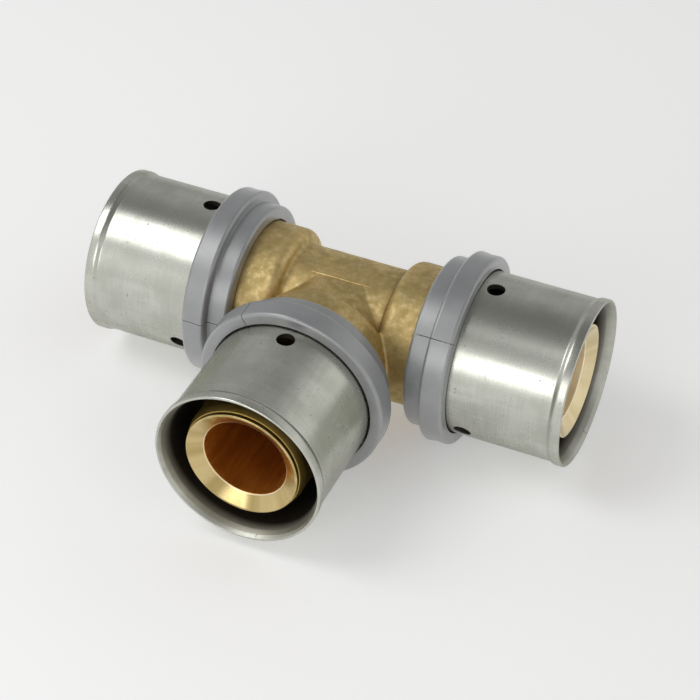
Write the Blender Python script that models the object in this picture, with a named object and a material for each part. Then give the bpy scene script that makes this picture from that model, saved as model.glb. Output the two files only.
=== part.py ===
"""Equal tee press fitting for 32 x 3 mm multilayer pipe.

A forged brass tee carries a barbed spigot on each of its three branches. Each spigot has two
O-rings, a split plastic ring that snaps onto the brass, and a stainless steel press sleeve that
the ring holds. The run lies along X, the branch points along -Y, and +Z is up.

Lengths are in metres. A profile is a closed list of (s, r) points: s is the distance from the
tee's centre along a branch, and r is the distance from the branch's axis.
"""

import math

import bmesh
import bpy
from mathutils import Matrix, Vector

MM = 0.001
SEGMENTS = 32
RING_SEGMENTS = 24
GAP = 0.3 * MM

# Half a facet, by which crossing pieces of the body are turned so that their edges don't coincide
FACET_TURN = math.pi / SEGMENTS

# Forged body
HALF_LENGTH = 52.0 * MM
TUBE_R = 12.4 * MM
SHOULDER_FOOT_S = 11.6 * MM
SHOULDER_FILLET = 0.8 * MM
SHOULDER_ROUND = 2.0 * MM
COLLAR_R = 15.2 * MM
COLLAR_END_S = 21.2 * MM
BORE_R = 8.95 * MM

# Branch neck: a rounded rectangle in the middle of the run, a circle at the branch's collar
NECK_HALF_WIDTH = 12.9 * MM
NECK_HALF_HEIGHT = 12.0 * MM
NECK_SQUARENESS = 4.0
NECK_END_S = 12.3 * MM
NECK_STATIONS = 6
BRANCH_ROOT_S = 9.0 * MM
BRANCH_ROOT_R = 11.6 * MM

# Snap groove and flange that hold the plastic ring
SNAP_GROOVE_R = 14.0 * MM
SNAP_FLANGE_R = 14.8 * MM
SNAP_FLANGE_S = 23.4 * MM
SNAP_FLANGE_END_S = 24.4 * MM

# Spigot
SPIGOT_R = 12.9 * MM
TOOTH_LOW_R = 12.3 * MM
TOOTH_PITCH = 2.0 * MM
TEETH_S = (28.4 * MM, 38.6 * MM, 44.8 * MM)
TEETH_COUNT = (3, 1, 2)
ORING_GROOVE_S = (36.5 * MM, 42.7 * MM)
ORING_GROOVE_WIDTH = 2.6 * MM
ORING_GROOVE_R = 10.85 * MM
NOSE_NECK_S = 50.1 * MM
NOSE_NECK_WIDTH = 0.6 * MM
NOSE_NECK_R = 11.8 * MM
NOSE_R = 12.2 * MM
NOSE_ROUND = 0.2 * MM
MOUTH_CHAMFER_R = 11.7 * MM
MOUTH_CHAMFER_DEPTH = 1.9 * MM

# O-rings
ORING_R = 12.15 * MM
ORING_SECTION_R = 1.0 * MM
ORING_SECTION_STEPS = 6

# Split plastic ring
RING_S = 20.1 * MM
RING_STEP_S = 24.35 * MM
RING_END_S = 29.5 * MM
RING_SMALL_R = 18.35 * MM
RING_BIG_R = 20.6 * MM
RING_WAIST_R = 20.35 * MM
RING_ROUND = 0.6 * MM
RING_WEB_S = 24.7 * MM
RING_WEB_END_S = 26.0 * MM
PIPE_STOP_S = 26.4 * MM
PIPE_STOP_R = 15.9 * MM
SLIT_WIDTH = 0.3 * MM
SLIT_ANGLES = {"run_left": -81.5, "run_right": 49.0, "branch": 32.0}

# Stainless press sleeve
SLEEVE_S = 26.3 * MM
SLEEVE_END_S = 54.0 * MM
SLEEVE_R = 17.5 * MM
SLEEVE_INNER_R = 16.3 * MM
SLEEVE_HEM_R = 18.1 * MM
SLEEVE_HEM_WIDTH = 0.9 * MM
FLARE_S = 51.0 * MM
FLARE_RISE = 0.45 * MM
FLARE_INNER_RISE = 0.95 * MM
FLARE_STEPS = 3
SIGHT_HOLE_S = 32.6 * MM
SIGHT_HOLE_R = 1.9 * MM
SIGHT_HOLES = 3
SIGHT_HOLE_TURNS = {"run_left": 5.0, "run_right": 0.0, "branch": -2.0}
SIGHT_HOLE_SEGMENTS = 12

BRANCH_AXES = {"run_left": (-1, 0, 0), "run_right": (1, 0, 0), "branch": (0, -1, 0)}

# The origin is under the middle of the outer box, on the surface that the rings rest on.
CENTRE = Vector((0, (SLEEVE_END_S - RING_BIG_R) / 2, RING_BIG_R))


def material(name, colour, metallic, roughness):
    made = bpy.data.materials.new(name)
    made.use_nodes = True
    shader = made.node_tree.nodes["Principled BSDF"]
    shader.inputs["Base Color"].default_value = (*colour, 1)
    shader.inputs["Metallic"].default_value = metallic
    shader.inputs["Roughness"].default_value = roughness
    made.diffuse_color = (*colour, 1)
    return made


def arc(centre_s, centre_r, radius, start, end, steps):
    """Points on a round corner, from one angle to another, in degrees from the branch's axis."""
    points = []
    for step in range(steps + 1):
        angle = math.radians(start + (end - start) * step / steps)
        points.append((centre_s + radius * math.cos(angle), centre_r + radius * math.sin(angle)))
    return points


def turned(name, profile, segments=SEGMENTS):
    """A mesh spun about local Z from a closed profile. Points on the axis close its ends."""
    shape = bmesh.new()
    corners = [shape.verts.new((r, 0, s)) for s, r in profile]
    on_axis = profile[0][1] == 0
    count = len(corners) - 1 if on_axis else len(corners)
    edges = [shape.edges.new((corners[i], corners[(i + 1) % len(corners)])) for i in range(count)]
    bmesh.ops.spin(
        shape,
        geom=corners + edges,
        cent=(0, 0, 0),
        axis=(0, 0, 1),
        angle=math.tau,
        steps=segments,
        use_merge=True,
    )
    bmesh.ops.remove_doubles(shape, verts=shape.verts, dist=0.001 * MM)
    bmesh.ops.recalc_face_normals(shape, faces=shape.faces)
    return mesh_from(name, shape)


def mesh_from(name, shape):
    mesh = bpy.data.meshes.new(name)
    shape.to_mesh(mesh)
    shape.free()
    mesh.shade_smooth()
    mesh.set_sharp_from_angle(angle=math.radians(35))
    return mesh


def place(name, mesh, parent, look=None):
    made = bpy.data.objects.new(name, mesh)
    bpy.context.collection.objects.link(made)
    made.parent = parent
    if look and not mesh.materials:
        mesh.materials.append(look)
    return made


def helper(name, mesh, parent):
    made = place(name, mesh, parent)
    made.hide_render = True
    made.display_type = "WIRE"
    return made


def combine(target, tool, operation):
    step = target.modifiers.new(tool.name, "BOOLEAN")
    step.operation = operation
    step.solver = "EXACT"
    step.object = tool


def empty(name, parent=None):
    made = bpy.data.objects.new(name, None)
    bpy.context.collection.objects.link(made)
    made.parent = parent
    made.empty_display_size = 10 * MM
    return made


def branch_frame(name, centre):
    """An empty on the branch's axis: its Z points out of the branch and its X points up."""
    outward = Vector(BRANCH_AXES[name])
    upward = Vector((0, 0, 1))
    made = empty(name + "_axis", centre)
    made.rotation_euler = Matrix((upward, outward.cross(upward), outward)).transposed().to_euler()
    return made


def shoulder_and_collar():
    """The concave foot and the rounded edge of a collar, then its cylinder."""
    foot_r = TUBE_R + SHOULDER_FILLET
    round_s = SHOULDER_FOOT_S + SHOULDER_FILLET + SHOULDER_ROUND
    foot = arc(SHOULDER_FOOT_S, foot_r, SHOULDER_FILLET, -90, 0, 2)
    top = arc(round_s, COLLAR_R - SHOULDER_ROUND, SHOULDER_ROUND, 180, 90, 4)
    return foot + top[1:] + [(COLLAR_END_S, COLLAR_R)]


def snap_groove():
    return [
        (COLLAR_END_S, SNAP_GROOVE_R),
        (SNAP_FLANGE_S, SNAP_GROOVE_R),
        (SNAP_FLANGE_S, SNAP_FLANGE_R),
        (SNAP_FLANGE_END_S, SNAP_FLANGE_R),
        (SNAP_FLANGE_END_S, SPIGOT_R),
    ]


def teeth(start, count):
    """Barbs that let a pipe slide on towards the tee and bite when it is pulled off."""
    points = [(start, SPIGOT_R)]
    for tooth in range(count):
        low_s = start + (tooth + 1) * TOOTH_PITCH
        points += [(low_s, TOOTH_LOW_R), (low_s, SPIGOT_R)]
    return points


def oring_groove(middle):
    left = middle - ORING_GROOVE_WIDTH / 2
    right = middle + ORING_GROOVE_WIDTH / 2
    return [(left, SPIGOT_R), (left, ORING_GROOVE_R), (right, ORING_GROOVE_R), (right, SPIGOT_R)]


def nose():
    """The neck and the rounded lead-in at the spigot's tip."""
    neck_end = NOSE_NECK_S + NOSE_NECK_WIDTH
    tip = arc(HALF_LENGTH - NOSE_ROUND, NOSE_R - NOSE_ROUND, NOSE_ROUND, 90, 0, 2)
    return [
        (NOSE_NECK_S, SPIGOT_R),
        (NOSE_NECK_S, NOSE_NECK_R),
        (neck_end, NOSE_NECK_R),
        (neck_end, NOSE_R),
        *tip,
    ]


def spigot():
    points = teeth(TEETH_S[0], TEETH_COUNT[0])
    points += oring_groove(ORING_GROOVE_S[0])
    points += teeth(TEETH_S[1], TEETH_COUNT[1])
    points += oring_groove(ORING_GROOVE_S[1])
    points += teeth(TEETH_S[2], TEETH_COUNT[2])
    return points + nose()


def branch_outline():
    """Half outline of one branch, from the collar's foot to the middle of the spigot's tip."""
    return shoulder_and_collar() + snap_groove() + spigot() + [(HALF_LENGTH, 0)]


def bore_outline(past):
    """Half outline of a bore's outer part: the conical mouth, then a straight end past the tip."""
    mouth_r = MOUTH_CHAMFER_R + past * (MOUTH_CHAMFER_R - BORE_R) / MOUTH_CHAMFER_DEPTH
    return [(HALF_LENGTH - MOUTH_CHAMFER_DEPTH, BORE_R), (HALF_LENGTH + past, mouth_r), (HALF_LENGTH + past, 0)]


def mirrored(outline):
    """The outline's other half, so that a run goes from one tip to the other."""
    return [(-s, r) for s, r in reversed(outline)] + outline


def neck_section(s):
    """Exponent and half sizes of the neck's section, which turns into the tube's circle."""
    blend = min(max(s / SHOULDER_FOOT_S, 0), 1)
    squareness = NECK_SQUARENESS + (2 - NECK_SQUARENESS) * blend
    width = NECK_HALF_WIDTH + (TUBE_R - NECK_HALF_WIDTH) * blend
    height = NECK_HALF_HEIGHT + (TUBE_R - NECK_HALF_HEIGHT) * blend
    return squareness, height, width


def superellipse_point(angle, squareness, height, width):
    along, across = math.cos(angle), math.sin(angle)
    radius = (abs(along / height) ** squareness + abs(across / width) ** squareness) ** (-1 / squareness)
    return radius * along, radius * across


def neck_mesh(name):
    """A loft along local Z through rings of points, capped at both ends."""
    shape = bmesh.new()
    rings = []
    for station in range(NECK_STATIONS + 1):
        s = NECK_END_S * station / NECK_STATIONS
        section = neck_section(s)
        ring = []
        for step in range(SEGMENTS):
            x, y = superellipse_point(math.tau * step / SEGMENTS + FACET_TURN, *section)
            ring.append(shape.verts.new((x, y, s)))
        rings.append(ring)
    for near, far in zip(rings, rings[1:]):
        for i in range(SEGMENTS):
            j = (i + 1) % SEGMENTS
            shape.faces.new((near[i], near[j], far[j], far[i]))
    shape.faces.new(reversed(rings[0]))
    shape.faces.new(rings[-1])
    bmesh.ops.recalc_face_normals(shape, faces=shape.faces)
    return mesh_from(name, shape)


def make_body(axes, brass):
    """The run, with the neck and the branch added, and both bores cut."""
    past = 1 * MM
    outline = branch_outline()
    body = place("tee_body", turned("tee_body", mirrored(outline)), axes["run_right"], brass)
    root = [(BRANCH_ROOT_S, 0), (BRANCH_ROOT_S, BRANCH_ROOT_R), (SHOULDER_FOOT_S, BRANCH_ROOT_R)]
    branch_profile = root + outline[1:]
    neck = helper("neck_add", neck_mesh("neck_add"), axes["branch"])
    branch = helper("branch_add", turned("branch_add", branch_profile), axes["branch"])
    branch.rotation_euler.z = FACET_TURN / 2
    bore = bore_outline(past)
    run_bore = helper("run_bore_cut", turned("run_bore_cut", mirrored(bore)), axes["run_right"])
    branch_bore_profile = [(0, 0), (0, BORE_R)] + bore
    branch_bore = helper("branch_bore_cut", turned("branch_bore_cut", branch_bore_profile), axes["branch"])
    branch_bore.rotation_euler.z = FACET_TURN
    combine(body, neck, "UNION")
    combine(body, branch, "UNION")
    combine(body, run_bore, "DIFFERENCE")
    combine(body, branch_bore, "DIFFERENCE")


def ring_profile():
    """Outer steps first, from the tee outwards, then the sleeve's groove, the web and the snap rib."""
    small = arc(RING_S + RING_ROUND, RING_SMALL_R - RING_ROUND, RING_ROUND, 180, 90, 2)
    big_start = arc(RING_STEP_S + RING_ROUND, RING_BIG_R - RING_ROUND, RING_ROUND, 180, 90, 2)
    waist = [((RING_STEP_S + RING_END_S) / 2, RING_WAIST_R)]
    big_end = arc(RING_END_S - RING_ROUND, RING_WAIST_R + 0.1 * MM - RING_ROUND, RING_ROUND, 90, 0, 2)
    lip_r = SLEEVE_R + GAP
    groove_r = SLEEVE_HEM_R + GAP
    groove_end = SLEEVE_S + SLEEVE_HEM_WIDTH + GAP
    inside = [
        (RING_END_S, lip_r),
        (groove_end, lip_r),
        (groove_end, groove_r),
        (RING_WEB_END_S, groove_r),
        (RING_WEB_END_S, PIPE_STOP_R),
        (PIPE_STOP_S, PIPE_STOP_R),
        (PIPE_STOP_S, SPIGOT_R + GAP),
        (RING_WEB_S, SPIGOT_R + GAP),
        (RING_WEB_S, SNAP_FLANGE_R + GAP),
        (SNAP_FLANGE_S - GAP, SNAP_FLANGE_R + GAP),
        (SNAP_FLANGE_S - GAP, SNAP_GROOVE_R + GAP),
        (COLLAR_END_S + GAP, SNAP_GROOVE_R + GAP),
        (COLLAR_END_S + GAP, COLLAR_R + GAP),
        (RING_S, COLLAR_R + GAP),
    ]
    return small + [(RING_STEP_S, RING_SMALL_R)] + big_start + waist + big_end + inside


def slit_cutter(name):
    """A thin slab from the axis outwards, along local X."""
    shape = bmesh.new()
    reach = RING_BIG_R + 1 * MM
    length = RING_END_S - RING_S + 2 * MM
    bmesh.ops.create_cube(shape, size=1)
    bmesh.ops.scale(shape, vec=(reach, SLIT_WIDTH, length), verts=shape.verts)
    bmesh.ops.translate(shape, vec=(reach / 2, 0, (RING_S + RING_END_S) / 2), verts=shape.verts)
    return mesh_from(name, shape)


def make_ring(branch, axis, plastic):
    ring = place(branch + "_fixing_ring", turned(branch + "_fixing_ring", ring_profile()), axis, plastic)
    slit = helper(branch + "_slit_cut", slit_cutter(branch + "_slit_cut"), axis)
    slit.rotation_euler.z = math.radians(SLIT_ANGLES[branch])
    combine(ring, slit, "DIFFERENCE")


def flare(inner, rise, start, end):
    """A smooth outward curve from the sleeve's wall to its mouth."""
    points = []
    for step in range(FLARE_STEPS + 1):
        part = step / FLARE_STEPS
        s = start + (end - start) * part
        points.append((s, inner + rise * (1 - math.cos(math.pi * part / 2))))
    return points


def sleeve_profile():
    lip = 0.55 * MM
    outer = flare(SLEEVE_R, FLARE_RISE, FLARE_S, SLEEVE_END_S - lip)
    inner = flare(SLEEVE_INNER_R, FLARE_INNER_RISE, FLARE_S, SLEEVE_END_S)
    hem_end = SLEEVE_S + SLEEVE_HEM_WIDTH
    return [
        (SLEEVE_S, SLEEVE_INNER_R),
        (SLEEVE_S, SLEEVE_HEM_R),
        (hem_end, SLEEVE_HEM_R),
        (hem_end, SLEEVE_R),
        *outer,
        (SLEEVE_END_S, SLEEVE_R + FLARE_RISE / 4),
        *reversed(inner),
    ]


def hole_cutter(name):
    """Radial pins, evenly spaced about the axis."""
    shape = bmesh.new()
    length = 6 * MM
    for number in range(SIGHT_HOLES):
        turn = Matrix.Rotation(math.tau * number / SIGHT_HOLES, 4, "Z")
        stand = Matrix.Translation((SLEEVE_R, 0, SIGHT_HOLE_S)) @ Matrix.Rotation(math.pi / 2, 4, "Y")
        bmesh.ops.create_cone(
            shape,
            cap_ends=True,
            segments=SIGHT_HOLE_SEGMENTS,
            radius1=SIGHT_HOLE_R,
            radius2=SIGHT_HOLE_R,
            depth=length,
            matrix=turn @ stand,
        )
    return mesh_from(name, shape)


def make_sleeve(branch, axis, steel):
    name = branch + "_press_sleeve"
    sleeve = place(name, turned(name, sleeve_profile()), axis, steel)
    holes = helper(branch + "_sight_hole_cut", hole_cutter(branch + "_sight_hole_cut"), axis)
    holes.rotation_euler.z = math.radians(SIGHT_HOLE_TURNS[branch])
    combine(sleeve, holes, "DIFFERENCE")


def make_orings(branch, axis, rubber, mesh):
    for side, s in zip(("inner", "outer"), ORING_GROOVE_S):
        ring = place(f"{branch}_o_ring_{side}", mesh, axis, rubber)
        ring.location.z = s


def clear_scene():
    for old in list(bpy.data.objects):
        bpy.data.objects.remove(old, do_unlink=True)


def main():
    clear_scene()
    brass = material("brass", (0.56, 0.42, 0.20), 1.0, 0.45)
    plastic = material("grey_plastic", (0.30, 0.31, 0.32), 0.0, 0.45)
    steel = material("stainless_steel", (0.55, 0.54, 0.51), 1.0, 0.3)
    rubber = material("black_rubber", (0.02, 0.02, 0.02), 0.0, 0.6)
    centre = empty("tee_centre")
    centre.location = CENTRE
    axes = {name: branch_frame(name, centre) for name in BRANCH_AXES}
    section = arc(0, ORING_R, ORING_SECTION_R, 0, 360, ORING_SECTION_STEPS)[:-1]
    oring = turned("o_ring", section, RING_SEGMENTS)
    make_body(axes, brass)
    for branch, axis in axes.items():
        make_ring(branch, axis, plastic)
        make_sleeve(branch, axis, steel)
        make_orings(branch, axis, rubber, oring)


main()
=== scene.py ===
# %% [markdown]
# # A press tee for multilayer pipe
#
# A press tee joins three pipes. Its heart is a forged brass tee with a barbed spigot on each
# branch. The pipe slides over the spigot and under a thin stainless sleeve, and a press tool
# squeezes the sleeve. A split plastic ring clips onto the brass and holds the sleeve in place.
#
# The CAD model is loaded first and is never changed. It gives every place and size. The smooth
# pieces made below stand for its faceted solids and move with the same bodies.

# %% Load the frame
import math

import bmesh
import bpy
from mathutils import Matrix, Vector


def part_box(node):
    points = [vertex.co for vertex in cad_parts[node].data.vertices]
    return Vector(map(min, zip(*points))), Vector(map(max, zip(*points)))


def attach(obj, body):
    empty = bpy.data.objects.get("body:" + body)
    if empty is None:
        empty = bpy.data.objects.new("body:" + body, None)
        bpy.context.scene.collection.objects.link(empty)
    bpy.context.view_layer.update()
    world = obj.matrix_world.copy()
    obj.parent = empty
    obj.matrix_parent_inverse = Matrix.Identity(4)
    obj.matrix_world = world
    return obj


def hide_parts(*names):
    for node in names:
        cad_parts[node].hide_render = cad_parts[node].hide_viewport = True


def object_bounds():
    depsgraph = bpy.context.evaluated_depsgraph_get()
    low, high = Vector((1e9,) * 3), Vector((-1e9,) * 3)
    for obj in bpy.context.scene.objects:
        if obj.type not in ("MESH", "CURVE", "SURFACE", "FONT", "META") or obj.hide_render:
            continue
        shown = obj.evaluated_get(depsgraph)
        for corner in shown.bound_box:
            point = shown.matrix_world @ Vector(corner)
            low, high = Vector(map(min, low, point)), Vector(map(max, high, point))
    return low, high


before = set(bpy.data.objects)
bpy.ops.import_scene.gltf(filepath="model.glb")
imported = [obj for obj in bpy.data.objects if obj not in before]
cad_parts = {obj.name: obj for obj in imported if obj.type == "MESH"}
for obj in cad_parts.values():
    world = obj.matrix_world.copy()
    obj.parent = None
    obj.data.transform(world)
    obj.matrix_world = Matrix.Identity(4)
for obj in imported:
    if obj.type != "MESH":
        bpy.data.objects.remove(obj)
cad_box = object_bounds()

print("CAD box:", [tuple(round(value, 4) for value in corner) for corner in cad_box])

# %% [markdown]
# ## Where the branches are
#
# Each branch leaves the tee's centre along its own axis. A turned piece is made once, on the
# right-hand branch, and a copy is turned about an upright line through the centre to the
# other two. So two numbers, s along a branch and r out from its axis, place everything.

# %% Measure the frame
MM = 0.001
BRANCH_TURNS = {"run_right": 0, "run_left": math.pi, "branch": -math.pi / 2}

ring_low, ring_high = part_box("run_right_fixing_ring")
sleeve_low, sleeve_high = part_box("run_right_press_sleeve")
tee_low, tee_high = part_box("tee_body")

CENTRE = Vector((tee_low.x + tee_high.x, ring_low.y + ring_high.y, ring_low.z + ring_high.z)) / 2
TIP_S = tee_high.x - CENTRE.x
RING_S = ring_low.x - CENTRE.x
RING_END_S = ring_high.x - CENTRE.x
RING_R = ring_high.z - CENTRE.z
SLEEVE_S = sleeve_low.x - CENTRE.x
MOUTH_S = sleeve_high.x - CENTRE.x
HEM_R = sleeve_high.z - CENTRE.z

print("centre of the tee:", tuple(round(value, 4) for value in CENTRE))
print("spigot tip, sleeve mouth, ring radius (mm):")
print([round(value / MM, 2) for value in (TIP_S, MOUTH_S, RING_R)])


# %% [markdown]
# ## Small tools
#
# Operators work on whatever is selected, so each helper first selects just what it needs.

# %% Select and apply
MERGE_DISTANCE = 0.002 * MM
SHARP_ANGLE = 32


def take(piece):
    """Make one piece the only selected object, and the active one."""
    bpy.ops.object.select_all(action="DESELECT")
    piece.select_set(True)
    bpy.context.view_layer.objects.active = piece


def settle(name):
    """Name the active object and put its place into its mesh."""
    piece = bpy.context.active_object
    piece.name = piece.data.name = name
    take(piece)
    bpy.ops.object.transform_apply(location=True, rotation=True, scale=True)
    return piece


def use(piece, kind, **settings):
    """Add a modifier with these settings and apply it."""
    step = piece.modifiers.new(kind.lower(), kind)
    for setting, value in settings.items():
        setattr(step, setting, value)
    take(piece)
    bpy.ops.object.modifier_apply(modifier=step.name)
    return piece


def cut(piece, *tools):
    """Take each tool's shape out of a piece, then throw the tool away."""
    for tool in tools:
        use(piece, "BOOLEAN", operation="DIFFERENCE", solver="EXACT", object=tool)
        bpy.data.objects.remove(tool, do_unlink=True)
    return piece


def tidy_faces(piece):
    """Merge doubled points and turn every face outwards."""
    take(piece)
    bpy.ops.object.mode_set(mode="EDIT")
    bpy.ops.mesh.select_all(action="SELECT")
    bpy.ops.mesh.remove_doubles(threshold=MERGE_DISTANCE)
    bpy.ops.mesh.normals_make_consistent(inside=False)
    bpy.ops.object.mode_set(mode="OBJECT")
    return piece


def smooth(piece, degrees=SHARP_ANGLE):
    """Shade curved faces as one, and keep edges sharper than this angle."""
    take(piece)
    bpy.ops.object.shade_smooth_by_angle(angle=math.radians(degrees))
    return piece


print("tools ready")


# %% [markdown]
# ## Turning on the lathe
#
# The sleeve, the ring and the spigot are all turned shapes, so each is drawn as half a section
# and spun about its branch. A sharp drawn corner looks like paper, while a real edge is
# always a little round and catches the light. So each corner has a radius of its own.

# %% Round a section's corners
def rounded(corners, steps=4):
    """A chain of (s, r, radius) corners in mm, as points with the corners rounded off."""
    points = []
    count = len(corners)
    for i, (s, r, radius) in enumerate(corners):
        here = Vector((s, r))
        if not radius:
            points.append(here)
            continue
        back = (Vector(corners[i - 1][:2]) - here).normalized()
        ahead = (Vector(corners[(i + 1) % count][:2]) - here).normalized()
        half = back.angle(ahead) / 2
        middle = here + (back + ahead).normalized() * radius / math.sin(half)
        start = here + back * radius / math.tan(half) - middle
        end = here + ahead * radius / math.tan(half) - middle
        for step in range(steps + 1):
            part = step / steps
            spoke = start.lerp(end, part).normalized() * radius
            points.append(middle + spoke)
    return points


sample = rounded([(0, 0, 1), (4, 0, 0), (4, 4, 0)])
print("a corner of radius 1 becomes", len(sample) - 2, "points")

# %% Spin a section and copy it
ROUND_STEPS = 160


def turned(name, points, around=ROUND_STEPS):
    """Spin a closed section, in mm from the tee's centre, about the right-hand branch."""
    places = [CENTRE + Vector((point[0], 0, point[1])) * MM for point in points]
    bpy.ops.object.select_all(action="DESELECT")
    bpy.ops.mesh.primitive_plane_add(size=MM, location=places[0])
    bpy.ops.object.mode_set(mode="EDIT")
    bpy.ops.mesh.merge(type="CENTER")
    for here, there in zip(places, places[1:]):
        bpy.ops.mesh.extrude_region_move(TRANSFORM_OT_translate={"value": there - here})
    shape = bmesh.from_edit_mesh(bpy.context.active_object.data)
    shape.verts.ensure_lookup_table()
    for vertex in shape.verts:
        vertex.select = vertex.index in (0, len(places) - 1)
    shape.select_flush_mode()
    bmesh.update_edit_mesh(bpy.context.active_object.data)
    bpy.ops.mesh.edge_face_add()
    bpy.ops.mesh.select_all(action="SELECT")
    bpy.ops.mesh.spin(steps=around, angle=math.tau, center=CENTRE, axis=(1, 0, 0))
    bpy.ops.object.mode_set(mode="OBJECT")
    return tidy_faces(settle(name))


def onto_branch(pattern, name, branch, twist=0):
    """Copy a right-hand piece, turn it about its own axis, then swing it round to a branch."""
    take(pattern)
    bpy.ops.object.duplicate(linked=False)
    copy = bpy.context.active_object
    copy.name = copy.data.name = name
    about_axis = Matrix.Rotation(math.radians(twist), 4, "X")
    about_centre = Matrix.Rotation(BRANCH_TURNS[branch], 4, "Z")
    there = Matrix.Translation(CENTRE)
    copy.data.transform(there @ about_centre @ about_axis @ there.inverted())
    return copy


def pin(radius, depth, place, rotation=(0, 0, 0), vertices=48):
    """A round cutting tool."""
    bpy.ops.object.select_all(action="DESELECT")
    bpy.ops.mesh.primitive_cylinder_add(
        vertices=vertices, radius=radius, depth=depth, location=place, rotation=rotation
    )
    return settle("tool")


print("a spun piece has", ROUND_STEPS, "steps round it unless it says otherwise")

# %% [markdown]
# ## The press sleeve
#
# The sleeve is a stainless tube with a wall of 1.2 mm. A hem inside the plastic ring holds it,
# and its mouth is rolled out a little so that the pipe finds its way in. Three sight holes near
# the ring show whether the pipe is fully home. The section is spun, then drilled from outside.

# %% Draw the sleeve's section
SLEEVE_R = 17.5
SLEEVE_BORE_R = 16.3
BEAD_R = 17.93
FLARE_DEPTH = 3.8
mouth = MOUTH_S / MM
hem_s = SLEEVE_S / MM

sleeve_section = rounded(
    [
        (hem_s, SLEEVE_BORE_R, 0.3),
        (hem_s, HEM_R / MM, 0.3),
        (hem_s + 0.9, HEM_R / MM, 0.3),
        (hem_s + 0.9, SLEEVE_R, 0.2),
        (mouth - 2.75, SLEEVE_R, 0.7),
        (mouth - 1.9, BEAD_R, 1.4),
        (mouth, BEAD_R, 0.32),
        (mouth, BEAD_R - 0.5, 0.14),
        (mouth - 0.8, BEAD_R - 0.95, 0.9),
        (mouth - 2.0, BEAD_R - 1.36, 2.0),
        (mouth - FLARE_DEPTH, SLEEVE_BORE_R, 3.0),
    ],
    steps=6,
)
print("points in the sleeve's half section:", len(sleeve_section))

# %% Spin and drill the sleeve
SIGHT_HOLE_S = 32.6
SIGHT_HOLE_R = 1.9
SIGHT_HOLES = 3
DRILL_DEPTH = 5
SLEEVE_STEPS = 192
SIGHT_HOLE_TWISTS = {"run_right": 0, "run_left": 5, "branch": -2}

sleeve = turned("sleeve_pattern", sleeve_section, around=SLEEVE_STEPS)
for number in range(SIGHT_HOLES):
    turn = Matrix.Rotation(math.tau * number / SIGHT_HOLES, 3, "X")
    place = CENTRE + turn @ Vector((SIGHT_HOLE_S, 0, SLEEVE_R)) * MM
    drill = pin(SIGHT_HOLE_R * MM, DRILL_DEPTH * MM, place, turn.to_euler())
    cut(sleeve, drill)
smooth(sleeve)
print("faces in a drilled sleeve:", len(sleeve.data.polygons))

# %% [markdown]
# ## The fixing ring
#
# The ring is moulded in grey plastic in two steps. The small step clips over the brass and the
# big one holds the sleeve's hem. It is slit on one side, so that it can spring open over the
# brass, and the slit closes to a thin line. Edges of a moulding are soft.

# %% Draw the ring's section
RING_STEP_S = 24.35
RING_SMALL_R = 18.35
RING_WAIST_R = 20.35
WEB_S = (24.7, 26.4)
WEB_R = 13.2
HEM_POCKET_R = 18.4
ring_start = RING_S / MM
ring_end = RING_END_S / MM
ring_r = RING_R / MM

ring_section = rounded(
    [
        (ring_start, 15.5, 0.25),
        (ring_start, RING_SMALL_R, 0.75),
        (RING_STEP_S, RING_SMALL_R + 0.03, 0.18),
        (RING_STEP_S, ring_r, 0.7),
        (RING_STEP_S + 2.6, RING_WAIST_R, 0),
        (ring_end, RING_WAIST_R + 0.08, 0.75),
        (ring_end, SLEEVE_R + 0.3, 0.2),
        (27.5, SLEEVE_R + 0.3, 0),
        (27.5, HEM_POCKET_R, 0),
        (26.0, HEM_POCKET_R, 0),
        (26.0, 15.9, 0),
        (WEB_S[1], 15.9, 0.15),
        (WEB_S[1], WEB_R, 0.15),
        (WEB_S[0], WEB_R, 0),
        (WEB_S[0], 15.1, 0),
        (23.1, 15.1, 0),
        (23.1, 14.3, 0),
        (21.5, 14.3, 0),
        (21.5, 15.5, 0),
    ],
    steps=5,
)
print("points in the ring's half section:", len(ring_section))

# %% Spin the ring
SLIT_WIDTH = 0.14
SLIT_TOOL_LENGTH = 12
SLIT_TOOL_HEIGHT = 22
SLIT_TOOL_PLACE = (25, 0, 11)

ring = turned("ring_pattern", ring_section)
bpy.ops.object.select_all(action="DESELECT")
bpy.ops.mesh.primitive_cube_add(
    size=1,
    scale=Vector((SLIT_TOOL_LENGTH, SLIT_WIDTH, SLIT_TOOL_HEIGHT)) * MM,
    location=CENTRE + Vector(SLIT_TOOL_PLACE) * MM,
)
cut(ring, settle("slit_tool"))
smooth(ring)
print("faces in a slit ring:", len(ring.data.polygons))

# %% [markdown]
# ## The spigot
#
# A machined spigot goes into the pipe. Barbs let the pipe slide on and bite when it is pulled
# off, two grooves hold the O-rings, and a wide chamfer at the tip lets water flow smoothly.
# Only the tip, a fine groove behind it and the chamfer show in the mouth of the sleeve.

# %% Draw the spigot's section
COLLAR_END_S = 21.2
SPIGOT_R = 12.9
TOOTH_LOW_R = 12.3
TOOTH_PITCH = 2
ORING_GROOVE_WIDTH = 2.6
ORING_GROOVE_R = 10.85
BORE_R = 8.95
FLANGE_S = (23.4, 24.4)
FLANGE_R = 14.8
NOSE_R = 12.2
NOSE_GROOVE_R = 11.85
CHAMFER_R = 11.7
CHAMFER_DEPTH = 1.9
ORING_GROOVES_S = {"inner": 36.5, "outer": 42.7}
tip = TIP_S / MM


def barbs(start, count):
    """Sawtooth points that fall towards the tip."""
    points = [(start, SPIGOT_R, 0)]
    for number in range(1, count + 1):
        edge = start + number * TOOTH_PITCH
        points += [(edge, TOOTH_LOW_R, 0), (edge, SPIGOT_R, 0)]
    return points


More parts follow.
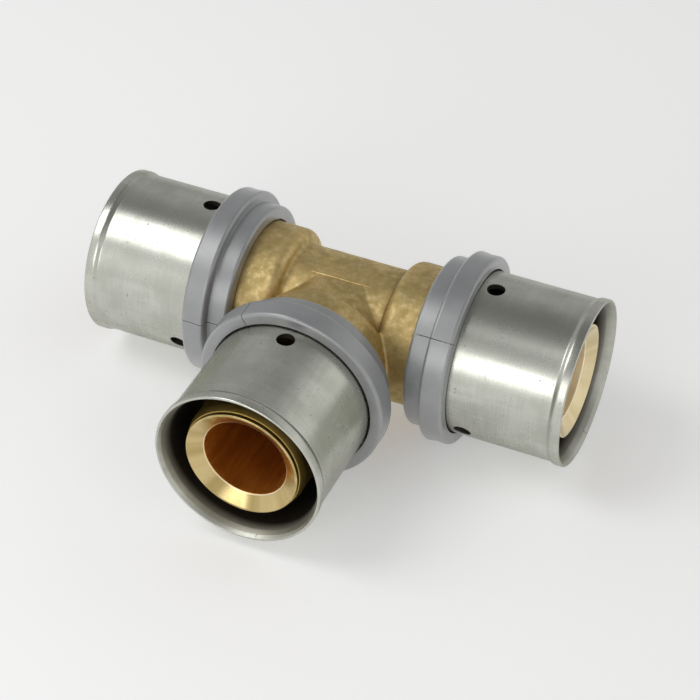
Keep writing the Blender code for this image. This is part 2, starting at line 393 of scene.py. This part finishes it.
def groove(middle):
    """A square groove with slightly broken edges."""
    low, high = middle - ORING_GROOVE_WIDTH / 2, middle + ORING_GROOVE_WIDTH / 2
    return [
        (low, SPIGOT_R, 0.1),
        (low, ORING_GROOVE_R, 0.2),
        (high, ORING_GROOVE_R, 0.2),
        (high, SPIGOT_R, 0.1),
    ]


spigot_section = rounded(
    [
        (COLLAR_END_S, BORE_R, 0),
        (COLLAR_END_S, 14.0, 0),
        (FLANGE_S[0], 14.0, 0),
        (FLANGE_S[0], FLANGE_R, 0.15),
        (FLANGE_S[1], FLANGE_R, 0.15),
        (FLANGE_S[1], SPIGOT_R, 0),
        *barbs(28.4, 3),
        *groove(ORING_GROOVES_S["inner"]),
        *barbs(38.6, 1),
        *groove(ORING_GROOVES_S["outer"]),
        *barbs(44.8, 2),
        (49.4, SPIGOT_R, 0.8),
        (tip - 0.85, 12.4, 0.15),
        (tip - 0.75, NOSE_GROOVE_R, 0.08),
        (tip - 0.5, NOSE_GROOVE_R, 0.08),
        (tip - 0.38, NOSE_R, 0.1),
        (tip, NOSE_R, 0.16),
        (tip, CHAMFER_R, 0.12),
        (tip - CHAMFER_DEPTH, BORE_R, 0.25),
    ],
    steps=3,
)
spigot = smooth(turned("spigot_pattern", spigot_section))
print("faces in a spigot:", len(spigot.data.polygons))

# %% [markdown]
# ## The O-rings
#
# Two rubber rings seal the pipe on each spigot. A moulded O-ring has a fine flash line round
# its outside, where the two halves of the mould met. A torus is the start, and the flash is
# raised from its outermost faces.

# %% Mould an O-ring
ORING_R = 12.15 * MM
ORING_SECTION_R = 1.0 * MM
FLASH_WIDTH = 0.06 * MM
OUTERMOST = 0.999

bpy.ops.object.select_all(action="DESELECT")
bpy.ops.mesh.primitive_torus_add(
    major_radius=ORING_R,
    minor_radius=ORING_SECTION_R,
    major_segments=96,
    minor_segments=24,
    location=CENTRE,
    rotation=(0, math.pi / 2, 0),
)
oring = settle("o_ring_pattern")
bpy.ops.object.mode_set(mode="EDIT")
shape = bmesh.from_edit_mesh(oring.data)
for vertex in shape.verts:
    out = (vertex.co - CENTRE).yz.length
    vertex.select = out > ORING_R + OUTERMOST * ORING_SECTION_R
shape.select_flush_mode()
bmesh.update_edit_mesh(oring.data)
bpy.ops.mesh.bevel(offset=FLASH_WIDTH, segments=2, profile=1.0, affect="EDGES")
bpy.ops.object.mode_set(mode="OBJECT")
tidy_faces(oring)
smooth(oring, 40)
print("faces in an O-ring:", len(oring.data.polygons))

# %% [markdown]
# ## The forged centre
#
# The middle of the tee is a hot forging. It starts as a turned run with two round shoulders, a
# turned branch, and a neck with a flat top and sloping sides. The three are joined and remeshed
# as one skin, which blends the joints as a forging die does, and then softened. A low raised
# line is added where the flat top leaves the run, and last the bores are cut.

# %% Size the shoulders
TUBE_R = 12.4
COLLAR_R = 15.2
SHOULDER_S = 11.6
BRANCH_ROOT_S = 9.0
BRANCH_ROOT_R = 11.6
OVERLAP = 0.5
FORGING_STEPS = 128

half_run = [
    (SHOULDER_S, TUBE_R, 0.8),
    (SHOULDER_S + 0.8, COLLAR_R, 2.0),
    (COLLAR_END_S, COLLAR_R, 0.1),
]
print("shoulder from", SHOULDER_S, "to", COLLAR_END_S, "mm")

# %% Turn the shoulders
run_corners = [(-OVERLAP, 0, 0), (-OVERLAP, TUBE_R, 0), *half_run, (COLLAR_END_S, 0, 0)]
run_half = turned("run_half", rounded(run_corners, steps=6), around=FORGING_STEPS)
branch_corners = [
    (BRANCH_ROOT_S, 0, 0),
    (BRANCH_ROOT_S, BRANCH_ROOT_R, 0),
    (SHOULDER_S, BRANCH_ROOT_R, 0),
    *half_run,
    (COLLAR_END_S, 0, 0),
]
branch_half = turned("branch_half", rounded(branch_corners, steps=6), around=FORGING_STEPS)
halves = [
    onto_branch(run_half, "forging_right", "run_right"),
    onto_branch(run_half, "forging_left", "run_left"),
    onto_branch(branch_half, "forging_branch", "branch"),
]
for pattern in (run_half, branch_half):
    bpy.data.objects.remove(pattern, do_unlink=True)
print("turned parts of the forging:", len(halves))

# %% Draw out the neck
NECK_TOP = 11.85
NECK_END_S = 12.4
right_side = [(4.8, NECK_TOP, 3.5), (10.3, 8.0, 3.5), (12.2, 4.0, 2.0)]
left_side = [(-12.4, 4.5, 2.0), (-11.0, 8.3, 2.5), (-5.2, NECK_TOP, 1.2)]
upper = left_side + right_side
lower = [(x, -z, radius) for x, z, radius in reversed(upper)]
neck_outline = rounded(upper + lower, steps=6)

bpy.ops.object.select_all(action="DESELECT")
bpy.ops.mesh.primitive_circle_add(
    vertices=len(neck_outline),
    radius=TUBE_R * MM,
    fill_type="NGON",
    location=CENTRE,
    rotation=(math.pi / 2, 0, 0),
)
neck = settle("forging_neck")
bpy.ops.object.mode_set(mode="EDIT")
shape = bmesh.from_edit_mesh(neck.data)
around_neck = sorted(
    shape.verts,
    key=lambda vertex: math.atan2(vertex.co.z - CENTRE.z, vertex.co.x - CENTRE.x),
)
around_outline = sorted(neck_outline, key=lambda point: math.atan2(point[1], point[0]))
for vertex, (x, z) in zip(around_neck, around_outline):
    vertex.co = CENTRE + Vector((x, 0, z)) * MM
bmesh.update_edit_mesh(neck.data)
bpy.ops.mesh.extrude_region_move(TRANSFORM_OT_translate={"value": (0, -NECK_END_S * MM, 0)})
bpy.ops.object.mode_set(mode="OBJECT")
tidy_faces(neck)
print("points round the neck:", len(neck_outline))

# %% Blend the forging into one skin
VOXEL_SIZE = 0.3 * MM

forging = neck
take(forging)
for half in halves:
    half.select_set(True)
bpy.ops.object.join()
forging.name = forging.data.name = "forged_centre"
use(forging, "REMESH", mode="VOXEL", voxel_size=VOXEL_SIZE)
use(forging, "SMOOTH", factor=0.5, iterations=4)
print("faces in the blended skin:", len(forging.data.polygons))

# %% Give it the unevenness of a hot forging
UNEVEN_SIZE = 3.2 * MM
UNEVEN_DEPTH = 0.1 * MM

uneven = bpy.data.textures.new("forging_unevenness", "CLOUDS")
uneven.noise_scale = UNEVEN_SIZE
uneven.noise_depth = 1
use(
    forging,
    "DISPLACE",
    texture=uneven,
    strength=UNEVEN_DEPTH,
    mid_level=0.5,
    texture_coords="LOCAL",
)
print("highest and lowest unevenness (mm):", UNEVEN_DEPTH / 2 / MM)

# %% Raise the line where the neck leaves the run
RIDGE_START = (-7.6, -3.6)
RIDGE_R = 0.11
RIDGE_SUNK = 0.10
RIDGE_STEPS = [
    # (length, sway, swell)
    (0.9, 0.05, 2.4),
    (1.7, -0.12, 1.3),
    (1.8, 0.10, 1.1),
    (2.1, 0.06, 0.85),
    (1.9, -0.10, 1.15),
    (2.2, 0.02, 0.95),
    (2.0, 0.12, 1.0),
    (1.5, -0.05, 0.7),
    (0.9, 0.1, 0.3),
]

for side in (1, -1):
    bpy.ops.object.select_all(action="DESELECT")
    bpy.ops.mesh.primitive_circle_add(
        vertices=14,
        radius=RIDGE_R * MM,
        fill_type="NGON",
        location=CENTRE + Vector((*RIDGE_START, side * (NECK_TOP - RIDGE_SUNK))) * MM,
        rotation=(0, math.pi / 2, 0),
    )
    ridge = settle("ridge")
    bpy.ops.object.mode_set(mode="EDIT")
    for length, sway, swell in RIDGE_STEPS:
        ahead = (length * MM, sway * MM, 0)
        bpy.ops.mesh.extrude_region_move(TRANSFORM_OT_translate={"value": ahead})
        bpy.ops.transform.resize(value=(swell, swell, swell))
    bpy.ops.object.mode_set(mode="OBJECT")
    tidy_faces(ridge)
    use(forging, "BOOLEAN", operation="UNION", solver="EXACT", object=ridge)
    bpy.data.objects.remove(ridge, do_unlink=True)
print("ridges raised")

# %% Bore it
BORE_OVERSHOOT = 2
FORGED_SHARP_ANGLE = 50

reach = (COLLAR_END_S + BORE_OVERSHOOT) * MM
branch_middle = CENTRE + Vector((0, -reach / 2, 0))
along_run = (0, math.pi / 2, 0)
along_branch = (math.pi / 2, 0, 0)
run_bore = pin(BORE_R * MM, 2 * reach, CENTRE, along_run, vertices=ROUND_STEPS)
branch_bore = pin(BORE_R * MM, reach, branch_middle, along_branch, vertices=ROUND_STEPS)
cut(forging, run_bore, branch_bore)
smooth(forging, FORGED_SHARP_ANGLE)
triangles = sum(len(face.vertices) - 2 for face in forging.data.polygons)
print("triangles in the forging:", triangles)


# %% [markdown]
# ## Writing finishes as arithmetic
#
# A finish is a small network of shader nodes. Here a socket is wrapped in a class whose
# arithmetic adds Math nodes, so that a pattern reads like the sum it is, and 1 - mask turns a
# mask round. Every other node comes from one method.

# %% Wrap a socket
class Flow:
    """The value on one socket. Arithmetic on it adds Math nodes."""

    def __init__(self, nodes, socket):
        self.nodes = nodes
        self.socket = socket

    def math(self, operation, other=0):
        return self.nodes.node("Math", {"operation": operation}, {0: self, 1: other})

    def __add__(self, other):
        return self.math("ADD", other)

    def __sub__(self, other):
        return self.math("SUBTRACT", other)

    def __rsub__(self, other):
        return self.nodes.node("Math", {"operation": "SUBTRACT"}, {0: other, 1: self})

    def __mul__(self, other):
        return self.math("MULTIPLY", other)

    def __truediv__(self, other):
        return self.math("DIVIDE", other)

    __radd__ = __add__
    __rmul__ = __mul__


print("a wrapped socket can be added, subtracted, multiplied and divided")


# %% Build a network of nodes
class Nodes:
    """A network of nodes, on a finish or on the room."""

    def __init__(self, tree, last_node):
        self.tree = tree
        self.last = tree.nodes[last_node]

    def node(self, kind, settings=None, values=None, output=0):
        """Add a node: its settings first, then a value or a link for each named socket."""
        made = self.tree.nodes.new("ShaderNode" + kind)
        for setting, value in (settings or {}).items():
            setattr(made, setting, value)
        for socket, value in (values or {}).items():
            if isinstance(value, Flow):
                self.tree.links.new(value.socket, made.inputs[socket])
            else:
                made.inputs[socket].default_value = value
        return Flow(self, made.outputs[output])

    def feed(self, socket, flow):
        self.tree.links.new(flow.socket, self.last.inputs[socket])

    def axis(self, vector, letter):
        return self.node("SeparateXYZ", None, {0: vector}, output=letter)

    def place(self, turn=0, scale=MM):
        """Coordinates in mm from the tee's centre, with X out along a branch."""
        coordinates = self.node("TexCoord", output="Object")
        values = {"Vector": coordinates, "Location": CENTRE}
        values.update({"Rotation": (0, 0, turn), "Scale": (scale, scale, scale)})
        return self.node("Mapping", {"vector_type": "TEXTURE"}, values)

    def noise(self, place, size, detail=2.0, roughness=0.5, stretch=None):
        """Noise from 0 to 1 whose features are about this many mm across."""
        if stretch:
            place = self.node("VectorMath", {"operation": "MULTIPLY"}, {0: place, 1: stretch})
        values = {"Vector": place, "Scale": 1 / size, "Detail": detail, "Roughness": roughness}
        return self.node("TexNoise", None, values, output="Fac")

    def between(self, flow, low, high, to_low=0.0, to_high=1.0, kind="SMOOTHSTEP"):
        """Map a value's range smoothly onto another range, and hold it there."""
        values = {"Value": flow, "From Min": low, "From Max": high}
        values.update({"To Min": to_low, "To Max": to_high})
        return self.node("MapRange", {"interpolation_type": kind}, values)

    def blend(self, mask, first, second):
        """Blend two colours by a mask."""
        colours = [c if isinstance(c, Flow) else (*c, 1) for c in (first, second)]
        values = {0: mask, 6: colours[0], 7: colours[1]}
        return self.node("Mix", {"data_type": "RGBA"}, values, output=2)

    def relief(self, height, depth):
        """Bump whose height of 1 stands for this many mm."""
        return self.node("Bump", None, {"Height": height, "Distance": depth * MM})


print("patterns:", [name for name in vars(Nodes) if not name.startswith("_")])


# %% Make a finish and paint with it
class Finish(Nodes):
    """A material whose nodes feed its shader."""

    def __init__(self, name, constants):
        self.material = bpy.data.materials.new(name)
        self.material.use_nodes = True
        super().__init__(self.material.node_tree, "Principled BSDF")
        for socket, value in constants.items():
            self.last.inputs[socket].default_value = value


def paint(piece, finish):
    """Give a piece one finish all over."""
    piece.data.materials.clear()
    piece.data.materials.append(finish.material)
    return piece


print("finishes can be written")

# %% [markdown]
# ## Stainless steel
#
# The sleeve is drawn tube. Polishing leaves fine lines round it, drawing leaves faint
# long streaks, and handling leaves small pits and cloudy patches. Round the tube, the radius
# stays the same while s changes, so lines round it are noise that is squeezed along s and
# stretched the other two ways. The specular tint darkens the steel a little where it is seen
# at a glancing angle. Inside the sleeve, painted shade darkens its colour from just inside the
# mouth inwards.

# %% Make the steel
SHADE_FROM = 0.9
SHADE_BY = 4.2
STEEL_TONES = ((0.48, 0.485, 0.43), (0.58, 0.585, 0.53))
STEEL_PIT = (0.22, 0.22, 0.21)
# The next colour is painted shade for the inside of the sleeve.
STEEL_INSIDE_SHADE = (0.10, 0.09, 0.08)
STEEL_EDGE_TINT = (0.72, 0.72, 0.70, 1)


def stainless(branch):
    finish = Finish("stainless_" + branch, {"Metallic": 1.0, "Specular Tint": STEEL_EDGE_TINT})
    place = finish.place(BRANCH_TURNS[branch])
    along, across, up = (finish.axis(place, letter) for letter in "XYZ")
    radius = (across * across + up * up).math("SQRT")

    lines = finish.noise(place, 0.4, detail=1, stretch=(1, 0.04, 0.04))
    streaks = finish.noise(place, 0.9, detail=2, stretch=(0.06, 1, 1))
    clouds = finish.noise(place, 6, detail=3, roughness=0.5)
    dents = finish.noise(place, 4, detail=1)
    pits = finish.between(finish.noise(place, 0.7, detail=0), 0.80, 0.86)
    tone = lines * 0.2 + streaks * 0.2 + clouds * 0.6

    lip = finish.between(radius, SLEEVE_R + 0.05, SLEEVE_R - 0.15)
    lip = lip * finish.between(along, mouth - FLARE_DEPTH, mouth - FLARE_DEPTH + 1)
    # Painted shade: from just inside the mouth, the inside of the sleeve is painted dark.
    inside = finish.between(radius, SLEEVE_R - 0.05, SLEEVE_R - 0.3)
    inside = inside * finish.between(along, mouth - SHADE_FROM, mouth - SHADE_BY)

    colour = finish.blend(finish.between(tone, 0.35, 0.65), *STEEL_TONES)
    colour = finish.blend(pits * 0.5, colour, STEEL_PIT)
    finish.feed("Base Color", finish.blend(inside, colour, STEEL_INSIDE_SHADE))
    dull = finish.between(tone, 0.35, 0.65, 0.31, 0.24, "LINEAR")
    finish.feed("Roughness", dull + pits * 0.2 + inside * 0.25 + lip * 0.16)
    height = lines * 0.25 + streaks * 0.25 + dents * 2.5 - pits * 0.6
    finish.feed("Normal", finish.relief(height, 0.006))
    return finish


steels = {branch: stainless(branch) for branch in BRANCH_TURNS}
print("steels:", list(steels))

# %% [markdown]
# ## Forged brass
#
# A forging keeps the grainy skin of the die and the shot blasting, with tiny bright crests and
# darker hollows. Its colour drifts from straw to olive where the skin has tarnished. Painted
# shade darkens the foot of the run's right-hand shoulder and of the branch's shoulder.

# %% Make the forged brass
FORGED_TONES = ((0.50, 0.385, 0.165), (0.64, 0.475, 0.215))
FORGED_CREST = (0.84, 0.71, 0.43)
FORGED_HOLLOW = (0.36, 0.29, 0.11)
# The next colour is painted shade for the feet of the shoulders.
FORGED_SHOULDER_SHADE = (0.22, 0.16, 0.055)


def forged_brass():
    finish = Finish("forged_brass", {"Metallic": 1.0})
    place = finish.place()
    grain = finish.noise(place, 0.5, detail=3, roughness=0.6)
    patches = finish.noise(place, 1.6, detail=4, roughness=0.6)
    tarnish = finish.noise(place, 6.5, detail=3, roughness=0.55)
    crests = finish.between(patches * 0.6 + grain * 0.4, 0.48, 0.66)
    hollows = 1 - finish.between(patches, 0.30, 0.48)

    x, y, z = (finish.axis(place, letter) for letter in "XYZ")
    from_run = (y * y + z * z).math("SQRT")
    from_branch = (x * x + z * z).math("SQRT")
    # Painted shade: the foot of the right-hand shoulder and of the branch's shoulder is darkened.
    run_shoulder_shade = finish.between(x.math("ABSOLUTE"), 9.8, 11.8)
    run_shoulder_shade = run_shoulder_shade * finish.between(from_run, 14.4, 12.6) * finish.between(x, -2, 6)
    branch_shoulder_shade = finish.between(y * -1.0, 10.4, 11.6) * finish.between(from_branch, 15.0, 13.2)
    shoulder_shade = run_shoulder_shade.math("MAXIMUM", branch_shoulder_shade)

    colour = finish.blend(finish.between(tarnish, 0.35, 0.65), *FORGED_TONES)
    colour = finish.blend(crests * 0.4, colour, FORGED_CREST)
    colour = finish.blend(hollows * 0.3, colour, FORGED_HOLLOW)
    finish.feed("Base Color", finish.blend(shoulder_shade * 0.75, colour, FORGED_SHOULDER_SHADE))
    finish.feed("Roughness", finish.between(patches, 0.3, 0.7, 0.64, 0.50, "LINEAR"))
    finish.feed("Normal", finish.relief(grain * 0.35 + patches * 1.2 + tarnish * 1.5, 0.06))
    return finish


forged = forged_brass()
print("made", forged.material.name)

# %% [markdown]
# ## Machined brass
#
# A turning tool leaves rings that are finer than a hair. On the chamfer they lie at one radius
# and on the barrel at one s, so noise of those two numbers alone gives both. A turned face
# also shines in sectors, like a clock's, and that sheen is painted into the colour as noise of
# the angle alone. The bore is seen only by light that has struck brass many times, which makes
# it orange, and that orange is painted into the bore's colour as painted shade. Just behind the
# chamfer the bore has a pale painted light instead, longest on the right-hand spigot, whose
# tones are a brighter, lit copy. The barrel behind the nose and its fine groove get painted
# shade.

# %% Make the machined brass
MACHINED_TONES = ((0.42, 0.315, 0.12), (0.70, 0.55, 0.28))
# From here on, the colours are painted light and shade on the spigot.
LIT_COPY_BRASS = ((0.72, 0.585, 0.33), (0.88, 0.745, 0.47))
BOUNCE_SHADE_BRASS = ((0.71, 0.345, 0.06), (0.85, 0.445, 0.09))
BARREL_SHADE_BRASS = (0.56, 0.39, 0.11)
BORE_LIGHT_BRASS = (0.97, 0.86, 0.64)
GROOVE_SHADE = (0.10, 0.065, 0.02)


def machined_brass(branch, bore_light_length, tones):
    """Turned brass. Painted light lies in the bore for bore_light_length mm behind its chamfer.
    """
    finish = Finish("machined_brass_" + branch, {"Metallic": 1.0})
    place = finish.place(BRANCH_TURNS[branch])
    along, across, up = (finish.axis(place, letter) for letter in "XYZ")
    radius = (across * across + up * up).math("SQRT")

    rings_place = finish.node("CombineXYZ", None, {0: along, 1: radius, 2: 0.0})
    rings = finish.noise(rings_place, 0.16, detail=2)
    spoke = finish.node("CombineXYZ", None, {0: 0.0, 1: across / radius, 2: up / radius})
    # Painted sheen: the shine of a turned face in sectors, laid into the colour.
    sectors = finish.between(finish.noise(spoke, 0.35, detail=2), 0.36, 0.62)
    clouds = finish.noise(place, 3.5, detail=2)
    streaks = finish.noise(place, 1.1, detail=2, stretch=(0.08, 1, 1))

    # Painted light and shade in the bore: pale light just behind the chamfer, then orange shade.
    bore_shade_from = tip - 1.8 - bore_light_length
    bore_shade_by = tip - CHAMFER_DEPTH - 2 * bore_light_length
    bore_shade = finish.between(radius, 9.08, 8.98) * finish.between(along, bore_shade_from, bore_shade_by)
    bore_light = finish.between(radius, 9.3, 9.0)
    # Painted shade: the barrel behind the nose is darkened, and its fine groove is darker still.
    behind = finish.between(radius, 11.6, 11.75) * finish.between(along, tip - 0.42, tip - 0.52)
    groove_shade = behind * finish.between(radius, NOSE_R + 0.1, NOSE_R)

    colour = finish.blend(sectors * 0.65 + rings * 0.2 + clouds * 0.15, *tones)
    colour = finish.blend(behind, colour, BARREL_SHADE_BRASS)
    colour = finish.blend(groove_shade, colour, GROOVE_SHADE)
    colour = finish.blend(bore_light, colour, BORE_LIGHT_BRASS)
    deep = finish.blend(finish.between(streaks, 0.35, 0.65), *BOUNCE_SHADE_BRASS)
    finish.feed("Base Color", finish.blend(bore_shade, colour, deep))
    dull = finish.between(clouds, 0.3, 0.7, 0.28, 0.20, "LINEAR")
    finish.feed("Roughness", dull + bore_light * 0.2 + behind * 0.2)
    finish.feed("Normal", finish.relief(rings, 0.006))
    return finish


# The right-hand spigot has a lit copy of the tones and a longer painted light in its bore.
machined = {
    "run_right": machined_brass("run_right", 3.5, LIT_COPY_BRASS),
    "run_left": machined_brass("run_left", 0, MACHINED_TONES),
    "branch": machined_brass("branch", 0, MACHINED_TONES),
}
print("machined brasses:", list(machined))

# %% [markdown]
# ## Grey plastic and black rubber
#
# The ring is a grey, glass-filled plastic: satin, with a fine moulded grain and a slight
# cloudiness. The O-rings are black rubber with a dull bloom.

# %% Make the plastic and the rubber
PLASTIC_TONES = ((0.150, 0.156, 0.163), (0.185, 0.191, 0.198))
PLASTIC_SPECK = (0.27, 0.275, 0.285)
PLASTIC_GLOSS = {
    "IOR": 1.75,
    "Specular IOR Level": 1.0,
    "Coat Weight": 1.0,
    "Coat Roughness": 0.33,
    "Coat IOR": 1.8,
}
RUBBER_TONES = ((0.012, 0.012, 0.013), (0.035, 0.035, 0.037))


def grey_plastic():
    finish = Finish("grey_plastic", PLASTIC_GLOSS)
    place = finish.place()
    grain = finish.noise(place, 0.22, detail=2)
    clouds = finish.noise(place, 5, detail=3, roughness=0.6)
    colour = finish.blend(finish.between(clouds, 0.3, 0.7), *PLASTIC_TONES)
    specks = finish.between(grain, 0.55, 0.8) * 0.4
    finish.feed("Base Color", finish.blend(specks, colour, PLASTIC_SPECK))
    finish.feed("Roughness", finish.between(grain, 0.3, 0.7, 0.52, 0.42, "LINEAR"))
    finish.feed("Normal", finish.relief(grain * 0.6 + clouds * 1.2, 0.012))
    return finish


def black_rubber():
    finish = Finish("black_rubber", {})
    place = finish.place()
    bloom = finish.noise(place, 2.5, detail=3, roughness=0.6)
    grain = finish.noise(place, 0.15, detail=1)
    finish.feed("Base Color", finish.blend(finish.between(bloom, 0.4, 0.7), *RUBBER_TONES))
    finish.feed("Roughness", finish.between(bloom, 0.3, 0.7, 0.45, 0.65, "LINEAR"))
    finish.feed("Normal", finish.relief(grain, 0.006))
    return finish


plastic = grey_plastic()
rubber = black_rubber()
print("made", plastic.material.name, "and", rubber.material.name)

# %% [markdown]
# ## Putting it together
#
# Each pattern is copied onto the three branches. A piece rides on the body of the CAD node that
# it stands for, so that the rings and the sleeves turn as the motion model turns them.

# %% Place the pieces on their bodies
RING_TWISTS = {"run_right": 49, "run_left": -81.5, "branch": 32}

paint(forging, forged)
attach(forging, "tee")
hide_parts("tee_body")

for branch in BRANCH_TURNS:
    piece = paint(onto_branch(spigot, branch + "_spigot", branch), machined[branch])
    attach(piece, "tee")
    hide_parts("tee_body")

    piece = onto_branch(ring, branch + "_ring", branch, RING_TWISTS[branch])
    paint(piece, plastic)
    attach(piece, branch + "_ring")
    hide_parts(branch + "_fixing_ring")

    piece = onto_branch(sleeve, branch + "_sleeve", branch, SIGHT_HOLE_TWISTS[branch])
    paint(piece, steels[branch])
    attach(piece, branch + "_sleeve")
    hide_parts(branch + "_press_sleeve")

    for side, groove_s in ORING_GROOVES_S.items():
        seal = onto_branch(oring, f"{branch}_seal_{side}", "run_right")
        seal.data.transform(Matrix.Translation((groove_s * MM, 0, 0)))
        piece = paint(onto_branch(seal, f"{branch}_{side}_seal", branch), rubber)
        bpy.data.objects.remove(seal, do_unlink=True)
        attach(piece, "tee")
        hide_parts(f"{branch}_o_ring_{side}")

for pattern in (spigot, ring, sleeve, oring):
    bpy.data.objects.remove(pattern, do_unlink=True)
shown = [piece for piece in bpy.data.objects if piece.type == "MESH" and not piece.hide_render]
print("pieces shown:", len(shown))

# %% [markdown]
# ## Floor, light and camera
#
# The fitting lies on a pale floor in soft light. Polished metal shows the room round it, so
# the room is part of the look: a pale room, one soft light high on the left and one low in
# front, and a darker gap overhead that draws the grey band along each sleeve.

# %% Lay the floor
FLOOR_SIZE = 6
FLOOR_TONES = ((0.87, 0.87, 0.87), (0.89, 0.89, 0.89))
FLOOR_GLOW = ((0.235, 0.235, 0.235), (0.245, 0.245, 0.245))

bpy.ops.object.select_all(action="DESELECT")
bpy.ops.mesh.primitive_plane_add(size=FLOOR_SIZE, location=(CENTRE.x, CENTRE.y, cad_box[0].z))
floor = settle("floor")
floor_finish = Finish(
    "pale_floor",
    {"Roughness": 0.75, "Specular IOR Level": 0.2, "Emission Strength": 1.0},
)
floor_tone = floor_finish.noise(floor_finish.place(scale=1), 0.8, detail=2)
floor_finish.feed("Base Color", floor_finish.blend(floor_tone, *FLOOR_TONES))
floor_finish.feed("Emission Color", floor_finish.blend(floor_tone, *FLOOR_GLOW))
paint(floor, floor_finish)
print("floor at z =", round(cad_box[0].z, 5))


# %% Hang the lights
def outwards(azimuth, elevation):
    """A direction away from the tee, from its angles in degrees. Azimuth 0 is in front."""
    azimuth, elevation = math.radians(azimuth), math.radians(elevation)
    level = math.cos(elevation)
    return Vector((math.sin(azimuth) * level, -math.cos(azimuth) * level, math.sin(elevation)))


def soft_light(name, direction, distance, size, power):
    """A square soft light that faces the tee."""
    out = outwards(*direction)
    lamp = bpy.data.lights.new(name, "AREA")
    lamp.shape = "SQUARE"
    lamp.size = size
    lamp.energy = power
    holder = bpy.data.objects.new(name, lamp)
    bpy.context.collection.objects.link(holder)
    holder.location = CENTRE + out * distance
    holder.rotation_euler = out.to_track_quat("Z", "Y").to_euler()
    return holder


soft_light("high_left_light", (-58, 55), 0.52, 0.25, 0.62)
soft_light("low_front_light", (-9, 22), 0.60, 0.24, 0.44)
print("lights hung")

# %% Paint the room
FRONT = (0.80, 0.80, 0.79)
BACK_LEFT = (0.50, 0.50, 0.50)
BACK_RIGHT = (0.82, 0.82, 0.80)
OVERHEAD_GAP = (0.22, 0.22, 0.22)

world = bpy.data.worlds.new("pale_room")
bpy.context.scene.world = world
world.use_nodes = True
room = Nodes(world.node_tree, "Background")
towards_room = room.node("TexCoord", output="Generated")
height = room.axis(towards_room, "Z")
forward = room.axis(towards_room, "Y") * -1.0 + room.axis(towards_room, "X") * -0.35
front_wall = room.between(forward, -0.1, 0.75)
overhead = room.between(height, 0.52, 0.95)
to_the_right = room.between(room.axis(towards_room, "X"), 0.1, 0.6)
back_wall = room.blend(to_the_right, BACK_LEFT, BACK_RIGHT)
wall = room.blend(front_wall, back_wall, FRONT)
room.feed("Color", room.blend(overhead, wall, OVERHEAD_GAP))
print("room painted")

# %% Set the camera
VIEW_AZIMUTH = 22.93
VIEW_ELEVATION = 39.81
VIEW_ROLL = 1.40
VIEW_DISTANCE = 0.455
VIEW_LENS = 112.13
SENSOR_WIDTH = 36
AIM = CENTRE + Vector((5.23, -10.83, 0)) * MM

towards = outwards(VIEW_AZIMUTH, VIEW_ELEVATION)
lens = bpy.data.cameras.new("camera")
lens.sensor_width = SENSOR_WIDTH
lens.lens = VIEW_LENS
lens.clip_start = 0.01
camera = bpy.data.objects.new("camera", lens)
bpy.context.collection.objects.link(camera)
turn = towards.to_track_quat("Z", "Y").to_matrix()
turn = turn @ Matrix.Rotation(math.radians(VIEW_ROLL), 3, "Z")
camera.matrix_world = Matrix.Translation(AIM + towards * VIEW_DISTANCE) @ turn.to_4x4()
bpy.context.scene.camera = camera
bpy.context.scene.view_settings.view_transform = "Standard"
print("camera at", tuple(round(value, 4) for value in camera.matrix_world.translation))

# %% [markdown]
# ## Finish
#
# The visual model is drawn to the size of the CAD model, whose box is printed at the start.
